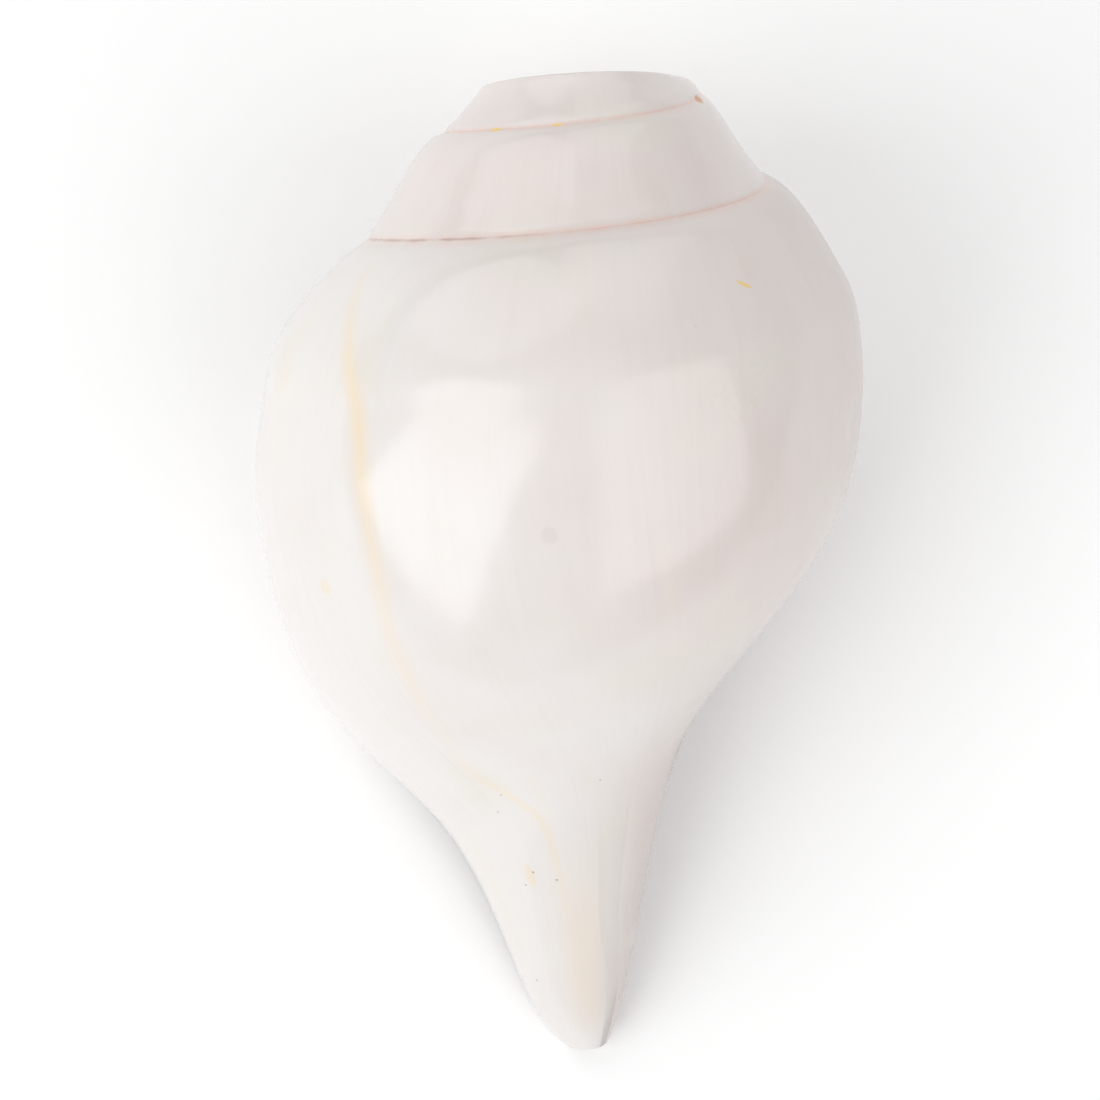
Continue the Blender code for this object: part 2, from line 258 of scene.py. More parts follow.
def outside_group():
    """Radius and depth of the outside, at a turn and a position."""
    tree, given, end = node_group(
        "Outside",
        {"Lines": None, "Turn": 0.0, "Position": 0.0, "Gutter Draw": GUTTER_DRAW},
        ("Radius", "Depth"),
    )
    turn, position = given["Turn"], given["Position"]
    weights = []
    vectors = {"data_type": "FLOAT_VECTOR"}
    by_length = {"mode": "LENGTH", "use_all_curves": True, **vectors}
    for name in WEIGHTS:
        value = made(tree, "GeometryNodeInputNamedAttribute", vectors, Name=name)
        inputs = {"Curves": given["Lines"], "Value": value, "Length": position}
        weights += parts_of(made(tree, "GeometryNodeSampleCurve", by_length, **inputs))
    older = turn - 1.0
    age = turn - turn * turn * GROWTH_DRIFT
    edge_age = turn - turn * turn * EDGE_DRIFT
    older_age = older - older * older * GROWTH_DRIFT
    ages = [(older_age, older_age), (age, edge_age)] + [(age, age)] * (len(LINES) - 1)
    radius = depth = 0.0
    for weight, line, (radius_age, depth_age) in zip(weights, (LINES[2], *LINES), ages):
        _, line_radius, line_depth, radius_growth, depth_growth = line
        radius = weight * radius_growth**radius_age * (line_radius * MM) + radius
        depth = weight * depth_growth**depth_age * (line_depth * MM) + depth
    late, early = GUTTER_TURNS
    back = ramp(turn, early, late)
    down = ramp(position, *GUTTER_POSITIONS)
    drawn_in = 1.0 - given["Gutter Draw"] * back * down
    wire(tree, radius * drawn_in, end.inputs["Radius"])
    wire(tree, depth, end.inputs["Depth"])
    return tree


OUTWARD_STEP = 0.002  # of position, to each side, over which the slope is measured


def outward_group(outside):
    """How far a step out of the surface goes in radius and in depth, for a length of 1."""
    inputs = {"Lines": None, "Turn": 0.0, "Position": 0.0}
    tree, given, end = node_group("Outward", inputs, ("Radius", "Depth"))
    turn, position = given["Turn"], given["Position"]
    r0, d0 = use_group(tree, outside, given["Lines"], turn, position - OUTWARD_STEP)
    r1, d1 = use_group(tree, outside, given["Lines"], turn, position + OUTWARD_STEP)
    across = r1 - r0
    down = d1 - d0
    length = (across * across + down * down).math("SQRT")
    wire(tree, down / length, end.inputs["Radius"])
    wire(tree, across / length * -1.0, end.inputs["Depth"])
    return tree


# The wall, the space inside it, and the three pleats on the columella.
WALL = 3.3 * MM
WALL_SHRINK = 1.36  # times thinner each turn back
TIP_WALL = 0.45  # of the wall's thickness left at the tip of the canal
TIP_THINS_FROM = 0.80
CORNER = 0.235  # position on the older whorl where the inside meets it
CORNER_ROUND = 0.06  # length over which the space opens from that corner
SHOULDER_INSIDE = 0.085  # the inside follows the outside from here down, and is straight above
SHOULDER_ROUND = 0.04
TAIL_ROUND = 0.11  # and over which it closes again at its lower end
LIP_LAG = 0.045  # turns by which the lip's lower end trails its upper end
LAG_LENGTH = 0.65  # of position, over which it falls behind
TAIL_TURNS = (-2.40, -1.00, -0.75, -0.50, -7 / 24, 0.0)
TAIL_ENDS = (0.74, 0.79, 0.83, 0.90, 1.00, 1.16)  # how far down the space reaches at those turns
PLEATS = (0.640, 0.690, 0.740)
PLEAT_HEIGHT = 1.7 * MM
PLEAT_WIDTH = 0.012  # from its ridge to its foot
PLEAT_TURNS = (-0.62, -0.45, -0.10, -0.01)  # fade in, full, full, fade out


def lag(position):
    """Turns by which the shell was laid down later at a position than at its suture."""
    return ramp(position, CORNER, CORNER + LAG_LENGTH, 0.0, LIP_LAG)


def steps_through(value, knots, heights):
    """Straight runs between heights at knots."""
    total = value * 0.0 + heights[0]
    for k0, k1, h0, h1 in zip(knots, knots[1:], heights, heights[1:]):
        total = total + ramp(value, k0, k1, 0.0, h1 - h0, "LINEAR")
    return total


HAIR = 1e-5  # less than this is nothing, so that a corner closes in spite of rounding errors


def quarter_round(value):
    """0 to 1 along a quarter circle, steep at the start."""
    short = 1.0 - (value - HAIR).math("MINIMUM", 1.0).math("MAXIMUM", 0.0)
    return (1.0 - short * short).math("SQRT")


def rounded_over(below, radius):
    """Depth below a face, bent so that what comes up to the face turns over into it."""
    near = below.math("MINIMUM", radius).math("MAXIMUM", radius * -1.0) + radius
    return (near * near / (radius * 4.0)).math("MAXIMUM", below)


def space_end(turn):
    """Position where the space ends below; over 1 near the lip, where it is open to the tip."""
    return steps_through(turn, TAIL_TURNS, TAIL_ENDS)


def older_side_group(outside, outward):
    """The space's wall on the axis side: the older whorl's outside and the columella's pleats."""
    tree, given, end = node_group(
        "Older Side",
        {"Lines": None, "Turn": 0.0, "Position": 0.0, "Pleat Height": PLEAT_HEIGHT},
        ("Radius", "Depth"),
    )
    turn, position = given["Turn"], given["Position"]
    place = turn - lag(position) - 1.0
    radius, depth = use_group(tree, outside, given["Lines"], place, position)
    out_r, out_d = use_group(tree, outward, given["Lines"], place, position)
    ridge = 0.0
    for pleat in PLEATS:
        ridge = hump((position - pleat) / PLEAT_WIDTH) + ridge
    fade_in, full, still_full, fade_out = PLEAT_TURNS
    starts = ramp(turn, fade_in, full, kind="LINEAR")
    ends = ramp(turn, fade_out, still_full, kind="LINEAR")
    height = ridge * (starts * ends) * given["Pleat Height"]
    wire(tree, radius + height * out_r, end.inputs["Radius"])
    wire(tree, depth + height * out_d, end.inputs["Depth"])
    return tree


def outer_side_group(outside, outward, older_side):
    """The space's wall on the side away from the axis; Along runs 0 to 1 down the space."""
    tree, given, end = node_group(
        "Outer Side",
        {"Lines": None, "Turn": 0.0, "Along": 0.0, "Wall": WALL, "Wall Shrink": WALL_SHRINK},
        ("Radius", "Depth"),
    )
    turn, along, lines = given["Turn"], given["Along"], given["Lines"]
    tail = space_end(turn)
    reach = tail.math("MINIMUM", 1.0)
    position = along * reach
    place = turn - lag(position)
    under = rounded_over(position - SHOULDER_INSIDE, SHOULDER_ROUND) + SHOULDER_INSIDE
    radius, depth = use_group(tree, outside, lines, place, under)
    out_r, out_d = use_group(tree, outward, lines, place, under)
    thinner = ramp(position, TIP_THINS_FROM, 1.0, 1.0, TIP_WALL)
    wall = given["Wall"] * given["Wall Shrink"] ** place * thinner
    old_r, old_d = use_group(tree, older_side, lines, turn, (reach - CORNER) * along + CORNER)
    open_up = quarter_round(position / CORNER_ROUND) * quarter_round((tail - position) / TAIL_ROUND)
    wire(tree, blend(open_up, old_r, radius - wall * out_r), end.inputs["Radius"])
    wire(tree, blend(open_up, old_d, depth - wall * out_d), end.inputs["Depth"])
    return tree


# The ground spire, and how the shell lies: on its lip, its belly and the tip of its canal.
CUT_DEPTH = 19.0 * MM  # below the growth apex, on the axis
CUT_TILT = math.radians(10.0)
CUT_LEAN = math.radians(2.0)  # higher towards +X
RIM_ROUND = 0.6 * MM
ROOF = 2.6 * MM  # wall left over the inner whorls, under the cut
ROOF_ROUND = 0.6 * MM
LIP_ANGLE = math.radians(32.3)  # of the lip below the horizontal, on the -X side
AXIS_RISE = math.radians(18.2)  # of the spire end over the horizontal

# Points of the mesh. The sheets below meet along their edges, where they have the same spacing.
COLUMNS = 180  # round one turn of the outside
INSIDE_COLUMNS = 96  # round one turn of the inside
INSIDE_END = -2.3125  # turn where the inside stops
ROWS_ABOVE = 30  # suture to joining line
ROWS_LIP = 6  # across the lip's thickness
ROWS_BELOW = 92  # down to the tip
TIP_CROWDING = 1.3  # how much closer together they are near the tip
WHORLS = 3.5  # whorls made; the part above the cut is ground off


def in_space(radius, depth, turn):
    """Z up the shell's axis, the lip at LIP_ANGLE under -X."""
    angle = turn * (2.0 * math.pi) + LIP_ANGLE
    x, y = radius * angle.math("COSINE") * -1.0, radius * angle.math("SINE")
    return vector(turn.tree, x, y, depth * -1.0)


def under_cut(point, cut_depth):
    """How far a point lies below the plane of the ground face, and that plane's height there."""
    x, y, z = parts_of(point)
    plane = x * math.tan(CUT_LEAN) - y * math.tan(CUT_TILT) - cut_depth
    return plane - z, plane


def rim_eased(point, cut_depth, rim_round):
    """Turns the surface over where it meets the cut; what is above stays, to be ground off."""
    below, plane = under_cut(point, cut_depth)
    above = (below + rim_round).math("MINIMUM", 0.0)
    x, y, _ = parts_of(point)
    return vector(point.tree, x, y, plane - rounded_over(below, rim_round) - above)


def under_roof(point, cut_depth, roof):
    """Presses the inside down to the roof that is left under the cut, with a round edge."""
    below, plane = under_cut(point, cut_depth + roof)
    x, y, _ = parts_of(point)
    return vector(point.tree, x, y, plane - rounded_over(below, ROOF_ROUND))


def row_below(share):
    """Position of a row under the corner, closer together towards the tip."""
    return 1.0 - (1.0 - share) ** TIP_CROWDING * (1.0 - CORNER)


def lip_row(share):
    """Position of a row of the lip, with the same spacing as the sheets that meet there."""
    rows = share * (ROWS_ABOVE + ROWS_LIP + ROWS_BELOW)
    above = ramp(rows, 0.0, ROWS_ABOVE, 0.0, JOIN, "LINEAR")
    across = ramp(rows, ROWS_ABOVE, ROWS_ABOVE + ROWS_LIP, 0.0, CORNER - JOIN, "LINEAR")
    start = float(ROWS_ABOVE + ROWS_LIP)
    low = ramp(rows, start, start + ROWS_BELOW, 0.0, 1.0, "LINEAR")
    return above + across + (row_below(low) - CORNER)


def sheet(tree, columns, rows):
    """A flat sheet of points; returns it with how far across and down it each point is, 0 to 1."""
    counts = {"Vertices_X": columns + 1, "Vertices_Y": rows + 1}
    grid = made(tree, "GeometryNodeMeshGrid", Size_X=1.0, Size_Y=1.0, **counts)
    x, y, _ = parts_of(made(tree, "GeometryNodeInputPosition"))
    return grid, x + 0.5, y + 0.5


def shape_sheet(mesh, point, turn, position, inside):
    """Moves a sheet's points into place, once its turn, position and side are stored on it."""
    tree = mesh.tree
    for name, value, data_type, domain in (
        ("growth", vector(tree, turn, position, 0.0), "FLOAT2", "CORNER"),
        ("inside", inside, "FLOAT", "POINT"),
    ):
        settings = {"data_type": data_type, "domain": domain}
        inputs = {"Geometry": mesh, "Name": name, "Value": value}
        mesh = made(tree, "GeometryNodeStoreNamedAttribute", settings, **inputs)
    return made(tree, "GeometryNodeSetPosition", Geometry=mesh, Position=point)


def turned_round(mesh):
    """The same sheet with its faces the other way."""
    return made(mesh.tree, "GeometryNodeFlipFaces", Mesh=mesh)


def outside_point(lines, groups, turn, position):
    """A point of the outside, rounded over at the rim of the canal's tip."""
    place = turn - lag(position)
    radius, depth = use_group(turn.tree, groups["outside"], lines, place, position)
    out_r, out_d = use_group(turn.tree, groups["outward"], lines, place, position)
    over = ramp(position, TIP_ROUND_FROM, 1.0, kind="LINEAR")
    taken = (1.0 - (1.0 - over * over).math("SQRT")) * TIP_ROUND
    return in_space(radius - taken * out_r, depth - taken * out_d, place)


def outside_sheets(lines, groups, cut_depth, rim_round):
    """The outside: the upper part of every whorl, and the rest of the last one."""
    tree = lines.tree
    mesh, across, down = sheet(tree, round(WHORLS * COLUMNS), ROWS_ABOVE)
    turn, position = across * WHORLS - WHORLS, down * JOIN
    point = rim_eased(outside_point(lines, groups, turn, position), cut_depth, rim_round)
    spire = shape_sheet(mesh, point, turn, position, 0.0)
    mesh, across, down = sheet(tree, COLUMNS, ROWS_LIP)
    turn, position = across - 1.0, down * (CORNER - JOIN) + JOIN
    band = shape_sheet(mesh, outside_point(lines, groups, turn, position), turn, position, 0.0)
    mesh, across, down = sheet(tree, COLUMNS, ROWS_BELOW)
    turn, position = across - 1.0, row_below(down)
    body = shape_sheet(mesh, outside_point(lines, groups, turn, position), turn, position, 0.0)
    return [spire, band, body]


SETTLE = 0.10  # length over which the lip runs on to the older whorl


def lip_sheet(lines, groups):
    """The round edge of the lip, from outside to inside, run on to the older whorl at its top."""
    tree = lines.tree
    mesh, across, down = sheet(tree, ROWS_LIP, ROWS_ABOVE + ROWS_LIP + ROWS_BELOW)
    swing = across * math.pi
    position = lip_row(down)
    lip = position * 0.0
    place = lip - lag(position)
    outer = outside_point(lines, groups, lip, position)
    inner = in_space(*use_group(tree, groups["outer side"], lines, lip, position), place)
    top = outside_point(lines, groups, lip, lip)
    corner = outside_point(lines, groups, lip - 1.0, lip + CORNER)

    def rounded(outer_end, inner_end, at_turn):
        angle = at_turn * (2.0 * math.pi) + LIP_ANGLE
        forward = vector(tree, angle.math("SINE"), angle.math("COSINE"), 0.0)
        middle = vector_math("SCALE", vector_math("ADD", outer_end, inner_end), scale=0.5)
        half = vector_math("SCALE", vector_math("SUBTRACT", outer_end, inner_end), scale=0.5)
        out = vector_math("LENGTH", half) * swing.math("SINE")
        bulge = vector_math("SCALE", forward, scale=out)
        ends = vector_math("ADD", middle, vector_math("SCALE", half, scale=swing.math("COSINE")))
        return vector_math("ADD", ends, bulge)

    edge = rounded(outer, inner, place)
    seat = outside_point(lines, groups, lip - 1.0, across * (CORNER - JOIN) + JOIN)
    shift = vector_math("SUBTRACT", seat, rounded(top, corner, lip))
    settle = ramp(position, 0.0, SETTLE, 1.0, 0.0)
    point = vector_math("ADD", edge, vector_math("SCALE", shift, scale=settle))
    return shape_sheet(mesh, point, lip, position, across)


def inside_sheets(lines, groups, cut_depth, roof):
    """The space that the animal lived in, from the lip up to under the ground spire."""
    tree = lines.tree
    columns = round(-INSIDE_END * INSIDE_COLUMNS)
    mesh, across, down = sheet(tree, columns, ROWS_ABOVE + ROWS_LIP + ROWS_BELOW)
    turn, along = across * -INSIDE_END + INSIDE_END, lip_row(down)
    reach = space_end(turn).math("MINIMUM", 1.0)
    position = along * reach
    place = turn - lag(position)
    point = in_space(*use_group(tree, groups["outer side"], lines, turn, along), place)
    outer = turned_round(shape_sheet(mesh, under_roof(point, cut_depth, roof), turn, position, 1.0))
    mesh, across, down = sheet(tree, columns, ROWS_BELOW)
    turn, along = across * -INSIDE_END + INSIDE_END, (row_below(down) - CORNER) / (1.0 - CORNER)
    reach = space_end(turn).math("MINIMUM", 1.0)
    position = (reach - CORNER) * along + CORNER
    place = turn - lag(position)
    point = in_space(*use_group(tree, groups["older side"], lines, turn, position), place)
    older = shape_sheet(mesh, under_roof(point, cut_depth, roof), turn - 1.0, position, 1.0)
    return [outer, older]


WELD = 0.0003 * MM  # points nearer to each other than this become one
SIZES = {"Cut Depth": CUT_DEPTH, "Rim Round": RIM_ROUND, "Roof": ROOF, "Axis Rise": AXIS_RISE}


def growth_tree(material):
    """The whole skin of the shell, grown from the lines, its sheets welded where they meet."""
    tree, given, end = node_group("Grow Shell", {"Lines": None, **SIZES}, ("Shell",))
    outside = outside_group()
    outward = outward_group(outside)
    older_side = older_side_group(outside, outward)
    outer_side = outer_side_group(outside, outward, older_side)
    groups = {
        "outside": outside,
        "outward": outward,
        "older side": older_side,
        "outer side": outer_side,
    }
    lines = made(tree, "GeometryNodeMeshToCurve", Mesh=given["Lines"])
    sheets = outside_sheets(lines, groups, given["Cut Depth"], given["Rim Round"])
    sheets += [lip_sheet(lines, groups)]
    sheets += inside_sheets(lines, groups, given["Cut Depth"], given["Roof"])
    join = tree.nodes.new("GeometryNodeJoinGeometry")
    for one in sheets:
        tree.links.new(one.socket, join.inputs[0])
    lie = vector(tree, given["Axis Rise"] - math.pi / 2.0, 0.0, 0.0)
    shell = Field(tree, join.outputs[0])
    for kind, inputs in (
        ("GeometryNodeMergeByDistance", {"Distance": WELD}),
        ("GeometryNodeTransform", {"Rotation": lie}),
        ("GeometryNodeRealizeInstances", {}),
        ("GeometryNodeSetMaterial", {"Material": material}),
    ):
        shell = made(tree, kind, Geometry=shell, **inputs)
    wire(tree, shell, end.inputs["Shell"])
    return tree


def grown_mesh(material):
    """Runs the growth tree and keeps its result as a plain mesh."""
    lines = growth_lines()
    growing = lines.modifiers.new("grow", "NODES")
    growing.node_group = growth_tree(material)
    for socket in growing.node_group.interface.items_tree:
        if socket.in_out == "INPUT" and socket.name in SIZES:
            growing[socket.identifier] = SIZES[socket.name]
    depsgraph = bpy.context.evaluated_depsgraph_get()
    mesh = bpy.data.meshes.new_from_object(lines.evaluated_get(depsgraph))
    lines.modifiers.remove(growing)
    bpy.data.objects.remove(lines)
    mesh.materials.clear()
    mesh.materials.append(material)
    return mesh


# ==================================================================================================
# THE GROUND SPIRE AND THE BLOW HOLE
# The maker grinds the point of the spire away to a flat face, drills down the shell's axis into the
# whorls, and eases the edge of the hole, so that lips can close on it.
# ==================================================================================================

HOLE_RADIUS = 5.8 * MM
HOLE_DEPTH = 16.0 * MM
HOLE_EASE = 0.9 * MM  # rounding of its edge
HOLE_STRAIGHT = 3.6 * MM  # under the face, where it no longer follows the face's tilt
HOLE_POINT = 2.9 * MM  # the drill's point goes this much deeper
HOLE_SIDES = 96
EASE_STEPS = 7
DRILL_TOP = 4.0 * MM  # over the face
DRILL_LIFT = 0.04 * MM  # the rounding starts this far over the face, to meet it at an angle
LIE = Matrix.Rotation(AXIS_RISE - math.pi / 2.0, 4, "X")
UP_AXIS = LIE @ Vector((0.0, 0.0, 1.0))
FACE_NORMAL = (LIE @ Vector((-math.tan(CUT_LEAN), math.tan(CUT_TILT), 1.0))).normalized()
FACE_MIDDLE = LIE @ Vector((0.0, 0.0, -CUT_DEPTH))
GRIND_UNDER = 0.04 * MM  # ground this far under the plane, where the rounded rim still has a slope
PLAIN_PLACE = (-3.0, 0.12)  # turn and position given to worked faces, away from every mark
ON_PLANE = 1e-8  # metres; a point nearer to the cut than this is on it
SHARP = math.radians(50.0)  # edges that turn by more than this stay sharp
FLAT = 0.9999  # cosine of the angle within which a face belongs to the flat ground


def ground_and_closed(mesh):
    """Grinds the spire flat, and closes the ground face, the canal's tip and the inside's end."""
    skin = bmesh.new()
    skin.from_mesh(mesh)
    bmesh.ops.bisect_plane(
        skin,
        geom=skin.verts[:] + skin.edges[:] + skin.faces[:],
        dist=ON_PLANE,
        plane_co=FACE_MIDDLE - FACE_NORMAL * GRIND_UNDER,
        plane_no=FACE_NORMAL,
        clear_outer=True,
    )
    growth = skin.loops.layers.uv["growth"]
    open_edges = [edge for edge in skin.edges if edge.is_boundary]
    for face in bmesh.ops.holes_fill(skin, edges=open_edges, sides=0)["faces"]:
        if abs((face.verts[0].co - FACE_MIDDLE).dot(FACE_NORMAL)) < 2.0 * GRIND_UNDER:
            face.material_index = 1
            for loop in face.loops:
                loop[growth].uv = PLAIN_PLACE
    bmesh.ops.recalc_face_normals(skin, faces=skin.faces)
    skin.to_mesh(mesh)
    skin.free()


def drill_profile():
    """Rings from the top down: radius, height over the face, share of the face's tilt."""
    mouth = HOLE_RADIUS + HOLE_EASE
    rings = [(mouth, DRILL_TOP, 1.0)]
    for step in range(EASE_STEPS + 1):
        swing = 0.5 * math.pi * step / EASE_STEPS
        height = HOLE_EASE * (math.cos(swing) - 1.0) + DRILL_LIFT
        rings.append((mouth - HOLE_EASE * math.sin(swing), height, 1.0))
    rings.append((HOLE_RADIUS, -HOLE_STRAIGHT, 0.0))
    rings.append((HOLE_RADIUS, -HOLE_DEPTH, 0.0))
    return rings


def drill_mesh():
    """The drill, turned about the shell's axis, with a pointed end."""
    drill = bmesh.new()
    growth = drill.loops.layers.uv.new("growth")
    side = drill.verts.layers.float.new("inside")
    rows = []
    for radius, height, follow in drill_profile():
        row = []
        for i in range(HOLE_SIDES):
            angle = 2.0 * math.pi * i / HOLE_SIDES
            x, y = radius * math.cos(angle), radius * math.sin(angle)
            z = height - CUT_DEPTH + follow * (x * math.tan(CUT_LEAN) - y * math.tan(CUT_TILT))
            row.append(drill.verts.new(LIE @ Vector((x, y, z))))
        rows.append(row)
    point = drill.verts.new(LIE @ Vector((0.0, 0.0, -CUT_DEPTH - HOLE_DEPTH - HOLE_POINT)))
    drill.faces.new(rows[0])
    for i in range(HOLE_SIDES):
        j = (i + 1) % HOLE_SIDES
        for upper, lower in zip(rows, rows[1:]):
            drill.faces.new((upper[i], lower[i], lower[j], upper[j]))
        drill.faces.new((rows[-1][i], point, rows[-1][j]))
    for vert in drill.verts:
        vert[side] = 1.0
    for face in drill.faces:
        face.material_index = 1
        face.smooth = True
        for loop in face.loops:
            loop[growth].uv = PLAIN_PLACE
    bmesh.ops.recalc_face_normals(drill, faces=drill.faces)
    mesh = bpy.data.meshes.new("blow_hole_drill")
    drill.to_mesh(mesh)
    drill.free()
    return mesh


def drilled(mesh, materials):
    """The shell with its blow hole cut, as a new mesh; shell and drill list the same materials."""
    shell = bpy.data.objects.new("uncut_shell", mesh)
    drill = bpy.data.objects.new("blow_hole_drill", drill_mesh())
    for one in (shell, drill):
        for material in materials[len(one.data.materials) :]:
            one.data.materials.append(material)
        bpy.context.collection.objects.link(one)
    cut = shell.modifiers.new("blow_hole", "BOOLEAN")
    cut.operation = "DIFFERENCE"
    cut.solver = "MANIFOLD"  # EXACT leaves stray faces in the hole, and both meshes are closed
    cut.object = drill
    depsgraph = bpy.context.evaluated_depsgraph_get()
    finished = bpy.data.meshes.new_from_object(shell.evaluated_get(depsgraph))
    for one in (shell, drill):
        bpy.data.objects.remove(one)
    return finished


def laid_down(mesh):
    """Moves the shell to where the frame has it: on the floor, its ground face at the end."""
    places = np.empty(len(mesh.vertices) * 3)
    mesh.vertices.foreach_get("co", places)
    places = places.reshape(-1, 3)
    low, high = places.min(axis=0), places.max(axis=0)
    across = (cad_low[0] + cad_high[0] - low[0] - high[0]) / 2.0
    move = Vector((across, cad_high[1] - high[1], cad_low[2] - low[2]))
    mesh.transform(Matrix.Translation(move))
    return move


polished_shell = bpy.data.materials.new("polished_shell")
polished_shell.use_nodes = True
ground_shell = bpy.data.materials.new("ground_shell")
ground_shell.use_nodes = True
skin_mesh = grown_mesh(polished_shell)
ground_and_closed(skin_mesh)
shell_mesh = drilled(skin_mesh, (polished_shell, ground_shell))
shell_mesh.name = "conch_shell"
shell_place = laid_down(shell_mesh)
shell_mesh.set_sharp_from_angle(angle=SHARP)
for face in shell_mesh.polygons:
    if face.material_index == 1 and face.normal.dot(FACE_NORMAL) > FLAT:
        face.use_smooth = False
shell = bpy.data.objects.new("conch_shell", shell_mesh)
bpy.context.collection.objects.link(shell)
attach(shell, "root")
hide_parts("shell")


# ==================================================================================================
# THE FINISH OF THE SHELL
# White shell polished all over, faintly mottled pink and cream, the pink darkened by painted shade
# and a rosy grey of painted shade on the side away from the lip, with what its life left in it: a
# yellow band where growth once paused, stained sutures, a peach canal, and the pinholes of worms.
# ==================================================================================================


def tint(red, green, blue):
    """A colour from the values a screen shows it with, 0 to 255."""
    shown = [value / 255.0 for value in (red, green, blue)]
    return (*[((v + 0.055) / 1.055) ** 2.4 for v in shown], 1.0)


WHITE = tint(227, 223, 220)
# A pink darker and greyer than the shell's own pink, so that it also lays painted shade on the far
# side of the whorl and on the spire; the streaks use it too.
SHADED_PINK = tint(218, 206, 202)
# Painted shade: a darker rosy grey for the side of the last whorl away from the lip, which takes
# less light.
SHADED_SIDE_ROSE = tint(198, 185, 181)
CREAM = tint(222, 217, 207)
PEACH = tint(226, 213, 199)
INSIDE_TINT = tint(238, 220, 205)
YELLOW_BAND = tint(232, 217, 194)
SUTURE_BROWN = tint(168, 142, 132)
SUTURE_PINK = tint(226, 196, 184)
YELLOW_STAIN = tint(236, 205, 140)
ORANGE_STAIN = tint(204, 140, 80)
GREY_GREEN = tint(206, 203, 186)
PIT_BROWN = tint(120, 98, 70)

# The last whorl's length round and down, and down it near a suture, in millimetres.
ROUND = 310.0
DOWN = 150.0
SUTURE_DOWN = 120.0

# Sizes of the clouds of colour in the shell, in millimetres, and how many streaks one turn has.
PINK_CLOUDS = 26.0
CREAM_CLOUDS = 17.0
CREAM_ASIDE = (40.0, 0.0, 0.0)  # keeps the cream clouds apart from the others
# How much of the darkened pink is laid on; part of what it does is painted shade.
PINK_AND_SHADE_STRENGTH = 0.6
# How much painted shade, in rosy grey, is laid on the side away from the lip.
SIDE_SHADE_STRENGTH = 0.75
CREAM_STRENGTH = 0.6
EDGE_WOBBLE = 3.0
FINE_STREAKS = 150.0
BROAD_STREAKS = 26.0
STREAK_STRENGTH = 0.22

# The yellow band: position, turn and strength.
BAND = (
    (0.00, -0.155, 0.0),
    (0.067, -0.176, 0.35),
    (0.124, -0.196, 0.75),
    (0.229, -0.212, 1.0),
    (0.297, -0.216, 0.85),
    (0.373, -0.217, 0.6),
    (0.454, -0.211, 0.36),
    (0.517, -0.208, 0.28),
    (0.600, -0.201, 0.15),
    (0.648, -0.196, 0.25),
    (0.700, -0.209, 0.5),
    (0.760, -0.230, 0.5),
    (0.813, -0.235, 0.3),
    (0.868, -0.258, 0.2),
    (1.00, -0.330, 0.0),
)
BAND_TURNS = (-0.15, -0.35)  # the range that its turns lie in
BAND_WIDTH = 1.7  # millimetres, from its middle to where it is faint

# The canal: its peach streak, the streak's half width in turns, and the crease beside it.
CANAL_TURN = -0.268
CANAL_WIDTH = 0.05
CANAL_STRENGTH = 0.65
CREASE_TURN = -0.302
CREASE_SLANT = 0.04  # turns that it moves by on its way to the tip
CREASE_REACH = 0.05  # turns over which the surface drops behind it
CREASE_SLOPE = 14.0  # millimetres of drop for each turn

# The line of a suture and the stain round it.
LINE_STRENGTH = 0.6
HALO_STRENGTH = 0.5
STAINS_PER_TURN = 60.0

# Stained spots on the sutures: turn, half length in turns, reach from the suture in millimetres.
YELLOW_SPOTS = ((-1.138, 0.005, 0.7), (-1.220, 0.010, 1.1), (-1.299, 0.007, 1.1))
ORANGE_SPOTS = ((-1.530, 0.012, 2.4),)

# Marks on the last whorl, the last of them a painted reflection of the camera's lens: turn,
# position, slant (position for each turn), half size round and down in millimetres, strength,
# colour.
MARKS = (
    (-0.4311, 0.0906, -0.744, 1.9, 0.38, 0.95, YELLOW_STAIN),
    (-0.440, 0.080, 0.0, 3.5, 2.0, 0.10, SUTURE_PINK),
    (-0.176, 0.4015, 0.0, 1.5, 1.2, 0.22, YELLOW_STAIN),
    (-0.187, 0.803, 0.0, 2.8, 1.8, 0.26, YELLOW_STAIN),
    # A faint grey-brown dot that is not on the shell: a painted reflection of the camera's lens.
    (-0.310, 0.356, 0.0, 1.5, 1.5, 0.10, SUTURE_BROWN),
)

# Grey specks crowd together in one patch: its turn and position, and half its size in each.
SPECKLED_PATCH = (-0.415, 0.235, 0.030, 0.055)
SPECK_SIZE = 0.9
SPECK_CLOUDS = 30.0
SPECK_STRENGTH = 0.45

# Pinholes: place and radius in millimetres.
PINHOLES = (
    (-9.4, -33.7, 35.0, 0.22),
    (-9.8, -36.1, 31.0, 0.18),
    (-4.6, -45.3, 24.0, 0.24),
    (-5.7, -47.2, 21.7, 0.20),
    (-1.0, -46.5, 24.2, 0.24),
    (-4.1, -62.2, 10.8, 0.22),
    (5.4, -31.7, 37.1, 0.18),
)
FINE_PITS_APART = 7.0
FINE_PIT_GROUPS = 12.0
PIT_STRENGTH = 0.55

# Polish, and what it leaves of the surface: broad hand-ground facets and the finest growth lines.
SHELL_IOR = 1.56
POLISH_CLOUDS = 20.0
FACET_SIZE = 13.0
FACET_DEPTH = 0.10
LINE_DEPTH = 0.012


def noise(at, size, detail):
    """Smooth random variation round 0.5, with features of about a size."""
    return made(at.tree, "ShaderNodeTexNoise", Vector=at, Scale=1.0 / size, Detail=detail)


def over(share, first, second, kind="MIX"):
    """The second colour laid over the first by a share."""
    settings = {"data_type": "RGBA", "blend_type": kind}
    node = make_node(share.tree, "ShaderNodeMix", settings, Factor=share, A=first, B=second)
    return Field(share.tree, [socket for socket in node.outputs if socket.enabled][0])


